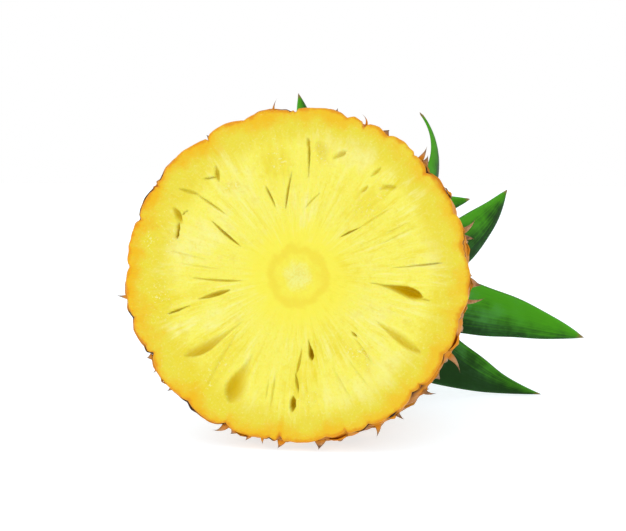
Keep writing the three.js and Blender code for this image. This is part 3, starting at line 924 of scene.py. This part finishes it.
def crown_leaves(crown):
    """The leaves from the lowest to the highest: short at the foot of the crown, longest a third
    of the way up, and shorter again towards its heart, where they stand nearly upright."""
    step = (crown.thickness + crown.clearance) / 2
    last = crown.leaf_count - 1
    stem_length = crown.first_height + last * step
    top_radius = TOP_LEAF["width"] * FOOT_WIDTH / np.radians(FOOT_WRAP) - crown.foot_gap - crown.thickness / 2
    for index in range(crown.leaf_count):
        number = index + 1
        rank = index / last
        height = crown.first_height + index * step
        spread = (1 - rank**1.5) ** 4
        lengthening = between(LOW_LEAF["length"], crown.longest, eased(rank, 0, LONGEST_RANK))
        even = between(lengthening, TOP_LEAF["length"], eased(rank, LONGEST_RANK, 1))
        radius = between(crown.stem_foot, top_radius, height / stem_length)
        own = {
            "turn": FIRST_TURN + index * np.degrees(GOLDEN_ANGLE),
            "open": between(TOP_LEAF["open"], LOW_LEAF["open"], spread),
            "curl": between(TOP_LEAF["curl"], LOW_LEAF["curl"], spread),
            "length": even * (1 + LENGTH_WANDER * np.sin(number * number)),
            "width": between(LOW_LEAF["width"], TOP_LEAF["width"], rank),
            "thick": between(LOW_LEAF["thick"], TOP_LEAF["thick"], rank),
            "channel": between(LOW_LEAF["channel"], TOP_LEAF["channel"], rank),
            "sweep": SWEEP_WANDER * np.sin(number * 5),
            "shade": 0.5 + 0.4 * np.sin(number * 2.3),
            "twist": 0,
            "hook": 0,
            "sag": 0,
            **STRAY_LEAVES.get(number, {}),
        }
        foot = radius + crown.foot_gap + crown.thickness / 2
        yield Leaf(number=number, foot_radius=foot, foot_height=height, **own)


def leaf_points(fruit, leaf, length):
    """Rings of a leaf and the place of each point along and across it.

    The midline leaves the stem at the leaf's open angle off the crown's axis and curls evenly.
    The leaf is as wide as its width says, round the axis, its edges stand above its midrib, and
    its section is a lens.
    """
    steps = LEAF_STATIONS * WALK_STEPS
    walk = np.arange(steps + 1) / steps
    angle = np.radians(leaf.open + leaf.curl / MM * length * walk)
    middle = (angle[1:] + angle[:-1]) / 2
    piece = length / steps
    radius = leaf.foot_radius + np.concatenate([[0], np.cumsum(np.sin(middle) * piece)])
    height = leaf.foot_height + np.concatenate([[0], np.cumsum(np.cos(middle) * piece)])
    every = slice(None, None, WALK_STEPS)
    share, angle = walk[every, None], angle[every, None]
    radius, height = radius[every, None], height[every, None]
    across, side = blade_sides(LEAF_RIBS)
    half = leaf.width / 2 * leaf_width(share)
    wave = 1 + 0.02 * np.sin(share * 23 + leaf.number) * across
    thick = leaf.thick / 2 * between(1, TIP_THICKNESS, share)
    keel = 0.16 * MM * np.exp(-((across / 0.12) ** 2)) * (1 - share)
    ridges = 0.035 * MM * np.cos(across * 34) * (1 - across**2)
    out = side * (thick * (1 - across**2) + ridges) - keel
    lift = leaf.channel * eased(share, 0.15, 0.6) * across**2 + out
    aside = across * wave * half
    twist = np.radians(leaf.twist) * eased(share, 0.1, 0.7)
    aside, lift = aside * np.cos(twist) - lift * np.sin(twist), aside * np.sin(twist) + lift * np.cos(twist)
    turn = np.radians(leaf.sweep * share**1.5 + leaf.hook * share**4) + aside / radius
    r = radius - np.cos(angle) * lift
    h = height + np.sin(angle) * lift
    turn = turn + np.radians(leaf.turn)
    rings = np.stack([r * np.cos(turn), r * np.sin(turn), h + fruit.shoulder_height + 0 * turn], -1)
    grid = np.broadcast_arrays(across, share * length, share + 0 * across)
    return fruit.lay_down(rings), np.stack(grid, -1)


def leaf_piece(fruit, crown, leaf, material):
    """A leaf of the crown, as long as the table under it allows, and pressed flat if it sags."""
    length = leaf.length
    points, blade = leaf_points(fruit, leaf, length)
    while points[..., 2].min() < crown.table_gap - leaf.sag:
        length *= 0.97
        points, blade = leaf_points(fruit, leaf, length)
    if leaf.sag:
        rise = (points[..., 2] - crown.table_gap + leaf.sag) / (3 * leaf.sag)
        pressed = crown.table_gap + leaf.sag * (rise + rise**2)
        points[..., 2] = np.where(rise < 1, pressed, points[..., 2])
    size = points.shape[1]
    tip = points[-1].mean(0, keepdims=True)
    points = np.concatenate([points[:-1].reshape(-1, 3), tip])
    blade = np.concatenate([blade[:-1].reshape(-1, 3), blade[-1].mean(0, keepdims=True)])
    faces = facing_out(points, blade_faces(LEAF_STATIONS, size))
    shade = np.full(len(points), leaf.shade)
    name = f"leaf_{leaf.number:02d}"
    return put_mesh(name, points, faces, material, {"blade": blade, "shade": shade})


def stem_piece(fruit, crown):
    """The crown's stem: a cone with shallow scars where leaves grow, and a round top.

    The scars are the product of two cosines that wind opposite ways, and the top is a quarter of
    an ellipse turned about the core.
    """
    node = cad_points("crown_stem") @ fruit.laid - fruit.laid.T @ fruit.origin
    foot, top = node[:, 2].min(), node[:, 2].max()
    reach = np.hypot(node[:, 0], node[:, 1])
    shoulder = node[(reach < reach.max() * 0.9) & (reach > 0.1 * reach.max())]
    narrow, end = np.hypot(shoulder[:, 0], shoulder[:, 1]).max(), shoulder[:, 2].max()
    share = np.linspace(0, 1, STEM_RINGS)[:, None]
    turn = np.linspace(0, 2 * np.pi, STEM_STEPS, endpoint=False)[None, :]
    scars = 0.25 * MM * (np.cos(turn * 8 + share * 60) * np.cos(turn * 5 - share * 45) - 1)
    radius = between(reach.max(), narrow, share) + scars
    height = between(foot, end, share) + 0 * turn
    cap = np.linspace(0, np.pi / 2, CAP_RINGS + 2)[1:-1, None]
    radius = np.concatenate([radius, narrow * np.cos(cap) + 0 * turn])
    height = np.concatenate([height, end + (top - end) * np.sin(cap) + 0 * turn])
    rings = np.stack([radius * np.cos(turn), radius * np.sin(turn), height], -1)
    points, faces = closed_revolution(rings, [0, 0, foot], [0, 0, top])
    return put_mesh("stem", fruit.lay_down(points), faces, stem_material(crown))


# ---- Finishes ----


class Flow:
    """What leaves a socket. Arithmetic on it adds Math nodes to its tree."""

    def __init__(self, finish, socket):
        self.finish = finish
        self.socket = socket

    def __add__(self, other):
        return self.finish.math("ADD", self, other)

    def __radd__(self, other):
        return self.finish.math("ADD", other, self)

    def __sub__(self, other):
        return self.finish.math("SUBTRACT", self, other)

    def __rsub__(self, other):
        return self.finish.math("SUBTRACT", other, self)

    def __mul__(self, other):
        return self.finish.math("MULTIPLY", self, other)

    def __rmul__(self, other):
        return self.finish.math("MULTIPLY", other, self)

    def __truediv__(self, other):
        return self.finish.math("DIVIDE", self, other)

    def __pow__(self, other):
        return self.finish.math("POWER", self, other)


class Finish:
    """A material in the making, with one method that adds any node."""

    def __init__(self, name):
        self.material = bpy.data.materials.new(name)
        self.material.use_nodes = True
        self.tree = self.material.node_tree
        self.tree.nodes.clear()

    def flow(self, kind, settings=None, inputs=None, output=0):
        """Adds a node: its settings first, then the values or links of its sockets."""
        node = self.tree.nodes.new("ShaderNode" + kind)
        for key, value in (settings or {}).items():
            if key == "stops":
                self.set_stops(node.color_ramp, value)
            else:
                setattr(node, key, value)
        for key, value in (inputs or {}).items():
            if isinstance(value, Flow):
                self.tree.links.new(value.socket, node.inputs[key])
            else:
                node.inputs[key].default_value = value
        return Flow(self, node.outputs[output]) if node.outputs else node

    def set_stops(self, ramp, stops):
        ramp.interpolation = "EASE"
        while len(ramp.elements) < len(stops):
            ramp.elements.new(0.5)
        for element, (position, _) in zip(ramp.elements, stops):
            element.position = position
        for element, (_, colour) in zip(ramp.elements, stops):
            element.color = (*colour, 1)

    def math(self, operation, first, second):
        return self.flow("Math", {"operation": operation}, {0: first, 1: second})

    def split(self, vector):
        parts = self.flow("SeparateXYZ", inputs={0: vector})
        node = parts.socket.node
        return [Flow(self, socket) for socket in node.outputs]

    def joined(self, x, y, z):
        return self.flow("CombineXYZ", inputs={0: x, 1: y, 2: z})

    def attribute(self, name, output="Fac"):
        """A value that the mesh holds at each of its points."""
        return self.flow("Attribute", {"attribute_name": name}, output=output)

    def eased(self, value, low, high):
        """0 at low, 1 at high and beyond, and a smooth step between them, whichever is greater."""
        inputs = {"Value": value, "From Min": low, "From Max": high}
        return self.flow("MapRange", {"interpolation_type": "SMOOTHSTEP"}, inputs)

    def noise(self, vector, scale, detail=2.0, roughness=0.5):
        """Cloudy noise from 0 to 1, with about as many lumps in a metre as the scale says."""
        inputs = {"Vector": vector, "Scale": scale, "Detail": detail, "Roughness": roughness}
        return self.flow("TexNoise", inputs=inputs)

    def mix(self, share, first, second):
        """Mixes two colours, each a flow or three numbers."""
        first, second = (part if isinstance(part, Flow) else (*part, 1) for part in (first, second))
        return self.flow("Mix", {"data_type": "RGBA"}, {0: share, 6: first, 7: second}, output=2)

    def layered(self, colour, *layers):
        """A colour with others laid over it in turn, each with the share of it that shows."""
        for share, over in layers:
            colour = self.mix(share, colour, over)
        return colour

    def bump(self, height, strength, distance):
        return self.flow("Bump", inputs={"Height": height, "Strength": strength, "Distance": distance})

    def surface(self, **inputs):
        """Ends the material in a Principled shader and returns the material."""
        named = {key.replace("_", " "): value for key, value in inputs.items()}
        shader = self.flow("BsdfPrincipled", inputs=named)
        self.flow("OutputMaterial", inputs={"Surface": shader})
        return self.material


def standing_place(finish, fruit):
    """Object coordinates turned back onto the standing fruit, with the core along Z."""
    place = finish.flow("TexCoord", output="Object")
    inputs = {"Vector": place, "Location": tuple(fruit.origin), "Rotation": (fruit.angle, 0, 0)}
    return finish.flow("Mapping", {"vector_type": "TEXTURE"}, inputs)


def flesh_material(fruit, colours):
    """Wet flesh: bands of colour from core to edge, torn by fibres along the radius, with painted shade in
    the hollows and painted wet glints in the grainy patches.
    """
    finish = Finish("wet_flesh")
    place = standing_place(finish, fruit)
    x, y, _ = finish.split(place)
    x = x - CORE_ASIDE
    reach = (x * x + y * y + 1e-9) ** 0.5
    cosine, sine = x / reach, y / reach
    share = reach * (1 / fruit.mean_radius)
    blotch = finish.noise(place, 55, 3, 0.55)
    cloud = finish.noise(place, 210, 4, 0.6)
    grit = finish.noise(place, 1100, 3, 0.65)
    streak = finish.noise(finish.joined(cosine * 17, sine * 17, share * 4), 1.0, 3, 0.6)
    thread = finish.noise(finish.joined(cosine * 60, sine * 60, share * 7), 1.0, 2, 0.6)
    wavering = share + (blotch - 0.5) * 0.16 * finish.eased(share, 0.0, 0.35) + (cloud - 0.5) * 0.1
    stops = [
        (0.0, colours.core),
        (0.045, colours.core),
        (0.105, colours.inner),
        (0.15, colours.ring),
        (0.165, colours.ring),
        (0.205, colours.inner),
        (0.42, colours.middle),
        (0.72, colours.middle),
        (0.86, colours.outer),
        (1.0, colours.outer),
    ]
    band = finish.flow("ValToRGB", {"stops": stops}, {0: wavering})
    grainy = finish.attribute("grain")
    inset = finish.attribute("inset")
    hollow = finish.attribute("hollow")
    uneven = (blotch - 0.5) * 1.6 + (cloud - 0.5) * 2.6 + (streak - 0.5) * 1.6
    tinted = finish.attribute("tint") + uneven
    off_core = finish.eased(share, 0.14, 0.3)
    within = off_core * (1 - finish.eased(share, 0.78, 0.92))
    zone = finish.eased(share, 0.2, 0.42)
    torn = zone * (1 - finish.eased(share, 0.82, 0.93))
    where = finish.eased(finish.noise(place, 38, 2), 0.42, 0.6)
    streaky = torn * (where * 0.5 + 0.12)
    speckled = (1 - finish.eased(share, 0.06, 0.18)) * finish.eased(grit + (cloud - 0.5) * 0.4, 0.42, 0.62)
    ripe = finish.eased(inset + (blotch - 0.5) * 20 + (cloud - 0.5) * 9, 7.8, 0.0) * (0.84 - cosine * 0.16)
    colour = finish.layered(
        band,
        (within * finish.eased(tinted, 0.1, 1.3) * 0.6, colours.pale),
        (off_core * finish.eased(tinted, -0.1, -1.3) * 0.6, colours.juicy),
        (streaky * finish.eased(streak, 0.52, 0.7), colours.pale),
        (streaky * finish.eased(streak, 0.48, 0.3), colours.juicy),
        (torn * finish.eased(thread, 0.56, 0.74) * where * 0.45, colours.pale),
        (zone * finish.eased(cloud, 0.5, 0.72) * 0.45, colours.juicy),
        (zone * finish.eased(grit, 0.52, 0.74) * 0.35, colours.pale),
        (zone * finish.eased(grit, 0.48, 0.26) * 0.35, colours.juicy),
        (speckled * 0.5, colours.ring),
        (grainy * finish.eased(grit + cloud * 0.5, 0.6, 0.85) * 0.45, colours.juicy),
        # Painted wet glints: pale specks in the grainy patches.
        (grainy * finish.eased(grit + (cloud - 0.5) * 0.5, 0.6, 0.68), colours.pale),
        (ripe, colours.edge),
        (finish.eased(inset + (cloud - 0.5) * 4.0, 1.8, 0.1) * 0.75, colours.lip),
        # Painted shade: darker gold as the hollows deepen.
        (finish.eased(hollow, 0.02, 0.6), colours.deep),
    )
    height = streak * 0.4 + thread * 0.3 * torn + cloud * 0.6 + grit * 0.3
    return finish.surface(
        Base_Color=colour,
        Roughness=finish.eased(cloud, 0.3, 0.7) * 0.2 + 0.34,
        Subsurface_Weight=0.3,
        Subsurface_Radius=(1.0, 0.62, 0.16),
        Subsurface_Scale=0.0025,
        Specular_IOR_Level=0.12,
        Coat_Weight=grainy * finish.eased(grit, 0.5, 0.7) * 0.4 + 0.03,
        Coat_Roughness=0.08,
        Normal=finish.bump(height, 0.6, 0.001),
    )


def skin_colour(finish, place, colours, tone):
    """Ripe gold to unripe green skin with orange clouds, and brighter just behind the cut."""
    cloud = finish.noise(place, 160, 4, 0.6)
    ripeness = finish.attribute("ripeness") + (tone - 0.5) * 0.5 + (cloud - 0.5) * 0.8
    colour = finish.mix(finish.eased(ripeness, 0.1, 0.65), colours.green, colours.gold)
    colour = finish.mix(finish.eased(cloud + tone * 0.2, 0.5, 0.75) * 0.7, colour, colours.orange)
    behind = finish.split(place)[2] * (1 / MM)
    return finish.mix(finish.eased(behind + (cloud - 0.5) * 14, 13.0, 3.0) * 0.85, colour, colours.fresh)


def rind_material(fruit, colours):
    """Waxy skin: gold eyes with orange flanks, greener near the crown, brown in the grooves."""
    finish = Finish("waxy_rind")
    place = standing_place(finish, fruit)
    raised = finish.attribute("raised")
    eye = finish.attribute("eye", "Vector")
    across, along, tone = finish.split(eye)
    distance = (across * across + along * along + 1e-9) ** 0.5
    cloud = finish.noise(place, 160, 4, 0.6)
    speck = finish.noise(place, 1400, 3, 0.7)
    colour = skin_colour(finish, place, colours, tone)
    brown = finish.eased(raised + (cloud - 0.5) * 0.5, 0.72, 0.2)
    scar = finish.eased(distance + (speck - 0.5) * 0.0016, 0.0026, 0.0012)
    colour = finish.layered(
        colour,
        (brown, colours.groove),
        (finish.eased(speck, 0.62, 0.75) * 0.5, colours.groove),
        (scar, colours.scar),
    )
    relief = cloud * 0.6 + speck * 0.4
    return finish.surface(
        Base_Color=colour,
        Roughness=0.68 - raised * 0.22,
        Subsurface_Weight=0.08,
        Subsurface_Radius=(1.0, 0.5, 0.15),
        Subsurface_Scale=0.002,
        Specular_IOR_Level=0.15,
        Normal=finish.bump(relief, 0.5, 0.0008),
    )


def bract_material(fruit, colours):
    """Bract: skin like its eye's at the foot, papery and tan further up, with a darker dry tip."""
    finish = Finish("dry_bract")
    place = standing_place(finish, fruit)
    share = finish.attribute("share")
    tone = finish.attribute("tone")
    grain = finish.noise(place, 1300, 3, 0.65)
    cloud = finish.noise(place, 260, 3, 0.6)
    skin = skin_colour(finish, place, colours, finish.attribute("eye_tone"))
    stained = finish.eased(grain + (tone - 0.5) * 0.3, 0.4, 0.75)
    papery = finish.mix(stained * 0.6, colours.bract, colours.bract_tip)
    behind = finish.eased(finish.split(place)[2] * (1 / MM), 14.0, 2.0)
    dried = finish.eased(share + (cloud - 0.5) * 0.5 + tone * 0.15 - behind * 0.35, 0.3, 0.62)
    colour = finish.mix(dried, skin, papery)
    tip = finish.eased(share + (grain - 0.5) * 0.3, 0.72, 1.0)
    colour = finish.mix(tip * 0.8, colour, colours.bract_tip)
    return finish.surface(
        Base_Color=colour,
        Roughness=0.8,
        Subsurface_Weight=0.1,
        Subsurface_Radius=(1.0, 0.6, 0.4),
        Subsurface_Scale=0.0015,
        Specular_IOR_Level=0.1,
        Normal=finish.bump(grain, 0.5, 0.0004),
    )


def leaf_material(crown):
    """Fleshy leaf: dark and bright greens along its veins, with painted light and shade across each blade and
    from leaf to leaf, bloom near its foot, a dry point.
    """
    finish = Finish("crown_leaf")
    blade = finish.attribute("blade", "Vector")
    across, run, share = finish.split(blade)
    shade = finish.attribute("shade")
    place = finish.flow("TexCoord", output="Object")
    veins = finish.noise(finish.joined(across * 16, run * 30, shade * 9), 1.0, 3, 0.6)
    fine = finish.noise(finish.joined(across * 60, run * 60, shade * 9), 1.0, 2, 0.6)
    cloud = finish.noise(place, 70, 4, 0.6)
    # Painted light and shade: each leaf is darkened by its shade, and one half of the blade is painted
    # brighter than the other.
    sunny = 0.95 - shade + (veins - 0.5) * 1.2 + (cloud - 0.5) * 1.8 + (share - 0.5) * 0.5 - across * 0.75
    waxy = finish.eased(cloud + (fine - 0.5) * 0.3, 0.45, 0.72) * (1 - finish.eased(share, 0.2, 0.85))
    edge = finish.eased(across * across + (fine - 0.5) * 0.05, 0.93, 1.0)
    colour = finish.layered(
        crown.dark,
        (finish.eased(sunny, 0.0, 1.15), crown.bright),
        (waxy * 0.45, crown.bloom),
        (edge * 0.3, crown.margin),
        (finish.eased(share + (cloud - 0.5) * 0.03, 0.955, 0.99), crown.dry),
    )
    return finish.surface(
        Base_Color=colour,
        Roughness=0.42 + finish.eased(cloud, 0.3, 0.7) * 0.16,
        Subsurface_Weight=0.08,
        Subsurface_Radius=(0.4, 1.0, 0.15),
        Subsurface_Scale=0.0015,
        Specular_IOR_Level=0.12,
        Normal=finish.bump(veins * 0.6 + fine * 0.4, 0.3, 0.0004),
    )


def stem_material(crown):
    """Pale fibrous stem."""
    finish = Finish("pale_stem")
    place = finish.flow("TexCoord", output="Object")
    grain = finish.noise(place, 400, 4, 0.6)
    colour = finish.mix(finish.eased(grain, 0.35, 0.75) * 0.35, crown.stem, crown.bloom)
    return finish.surface(Base_Color=colour, Roughness=0.7, Normal=finish.bump(grain, 0.4, 0.0006))


def floor_material(studio):
    """Plain matt floor, with a trace of mottling."""
    finish = Finish("pale_floor")
    place = finish.flow("TexCoord", output="Object")
    mottle = finish.noise(place, 6, 2)
    floor = tuple(studio.floor)
    paler = tuple(min(1, part * 1.01) for part in floor)
    colour = finish.mix(mottle, floor, paler)
    return finish.surface(
        Base_Color=colour,
        Roughness=0.9,
        Specular_IOR_Level=0.2,
        Emission_Color=(1, 1, 1, 1),
        Emission_Strength=studio.glow,
    )


# ---- Operators ----


def hand_over(piece, slot, *nodes):
    """Hangs a finished piece on the root and hides the CAD nodes that it replaces; the slot is not used."""
    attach(piece, "root")
    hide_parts(*nodes)


def whole_fruit(context):
    return Fruit(context.scene.pineapple_fruit, context.scene.pineapple_crown)


class PINEAPPLE_OT_flesh(bpy.types.Operator):
    """Make the cut flesh with its core, fibres and hollows"""

    bl_idname = "pineapple.flesh"
    bl_label = "Cut flesh"

    def execute(self, context):
        piece = flesh_piece(whole_fruit(context), context.scene.pineapple_flesh)
        hand_over(piece, "flesh", "fruit_body")
        return {"FINISHED"}


class PINEAPPLE_OT_rind(bpy.types.Operator):
    """Make the rind with its eyes"""

    bl_idname = "pineapple.rind"
    bl_label = "Rind"

    def execute(self, context):
        piece = rind_piece(whole_fruit(context), context.scene.pineapple_rind)
        hand_over(piece, "rind", "fruit_body")
        return {"FINISHED"}


class PINEAPPLE_OT_bracts(bpy.types.Operator):
    """Make the dry bracts of the eyes"""

    bl_idname = "pineapple.bracts"
    bl_label = "Bracts"

    def execute(self, context):
        piece = bracts_piece(whole_fruit(context), context.scene.pineapple_rind)
        hand_over(piece, "bract", "fruit_body")
        return {"FINISHED"}


class PINEAPPLE_OT_stem(bpy.types.Operator):
    """Make the stem of the crown"""

    bl_idname = "pineapple.stem"
    bl_label = "Crown stem"

    def execute(self, context):
        piece = stem_piece(whole_fruit(context), context.scene.pineapple_crown)
        hand_over(piece, "stem", "crown_stem")
        return {"FINISHED"}


class PINEAPPLE_OT_leaves(bpy.types.Operator):
    """Make the leaves of the crown, one piece each"""

    bl_idname = "pineapple.leaves"
    bl_label = "Crown leaves"

    def execute(self, context):
        fruit = whole_fruit(context)
        crown = context.scene.pineapple_crown
        material = leaf_material(crown)
        for leaf in crown_leaves(crown):
            piece = leaf_piece(fruit, crown, leaf, material)
            hand_over(piece, "leaf", f"crown_leaf_{leaf.number:02d}")
        return {"FINISHED"}


class PINEAPPLE_OT_studio(bpy.types.Operator):
    """Set the floor, the lights and the camera"""

    bl_idname = "pineapple.studio"
    bl_label = "Studio"

    def execute(self, context):
        studio = context.scene.pineapple_studio
        half = studio.floor_size / 2
        corners = np.array([[-half, -half, 0], [half, -half, 0], [half, half, 0], [-half, half, 0]])
        floor = put_mesh("floor", corners, [np.array([[0, 1, 2, 3]])], floor_material(studio))
        fruit = whole_fruit(context)
        self.set_sky(context, studio)
        face = Vector(fruit.origin)
        self.add_light(context, "key_light", face, Vector((-0.9, -0.7, 1.5)), 1.4, studio.key)
        self.add_light(context, "glint_light", face, Vector((-0.35, -1.2, 0.55)), 0.12, studio.glint)
        self.set_camera(context, studio, face)
        return {"FINISHED"}

    def set_sky(self, context, studio):
        world = bpy.data.worlds.new("even_sky")
        world.use_nodes = True
        background = world.node_tree.nodes["Background"]
        background.inputs["Color"].default_value = (1, 1, 1, 1)
        background.inputs["Strength"].default_value = studio.sky
        context.scene.world = world
        context.scene.view_settings.view_transform = "Standard"

    def add_light(self, context, name, target, offset, size, power):
        data = bpy.data.lights.new(name, "AREA")
        data.size = size
        data.energy = power
        light = bpy.data.objects.new(name, data)
        light.location = target + offset
        light.rotation_euler = (-offset).to_track_quat("-Z", "Y").to_euler()
        context.scene.collection.objects.link(light)

    def set_camera(self, context, studio, face):
        swing, climb = studio.azimuth, studio.elevation
        backward = Vector((np.sin(swing) * np.cos(climb), -np.cos(swing) * np.cos(climb), np.sin(climb)))
        aim = face + Vector((studio.aim_right, 0, studio.aim_up))
        data = bpy.data.cameras.new("camera")
        data.lens = studio.lens
        data.clip_start = 0.01
        camera = bpy.data.objects.new("camera", data)
        camera.location = aim + backward * studio.distance
        camera.rotation_euler = (np.pi / 2 - climb, 0, swing)
        context.scene.collection.objects.link(camera)
        context.scene.camera = camera


OPERATORS = (
    PINEAPPLE_OT_flesh,
    PINEAPPLE_OT_rind,
    PINEAPPLE_OT_bracts,
    PINEAPPLE_OT_stem,
    PINEAPPLE_OT_leaves,
    PINEAPPLE_OT_studio,
)
GROUPS = {
    "pineapple_fruit": FruitSizes,
    "pineapple_flesh": FleshColours,
    "pineapple_rind": RindColours,
    "pineapple_crown": CrownSizes,
    "pineapple_studio": StudioSizes,
}


class PINEAPPLE_PT_panel(bpy.types.Panel):
    """Everything that the pineapple is made from"""

    bl_label = "Pineapple"
    bl_space_type = "VIEW_3D"
    bl_region_type = "UI"
    bl_category = "Pineapple"

    def draw(self, context):
        for operator in OPERATORS:
            self.layout.operator(operator.bl_idname)


def register():
    for group in GROUPS.values():
        bpy.utils.register_class(group)
    for name, group in GROUPS.items():
        setattr(bpy.types.Scene, name, PointerProperty(type=group))
    for operator in OPERATORS:
        bpy.utils.register_class(operator)
    bpy.utils.register_class(PINEAPPLE_PT_panel)


def unregister():
    bpy.utils.unregister_class(PINEAPPLE_PT_panel)
    for operator in reversed(OPERATORS):
        bpy.utils.unregister_class(operator)
    for name, group in reversed(GROUPS.items()):
        delattr(bpy.types.Scene, name)
        bpy.utils.unregister_class(group)


def plain(box):
    """A box's two corners as lists of numbers."""
    return [[float(part) for part in corner] for corner in box]


def main():
    register()
    bpy.ops.pineapple.flesh()
    bpy.ops.pineapple.rind()
    bpy.ops.pineapple.bracts()
    bpy.ops.pineapple.stem()
    bpy.ops.pineapple.leaves()
    bpy.ops.pineapple.studio()


if __name__ == "__main__":
    main()
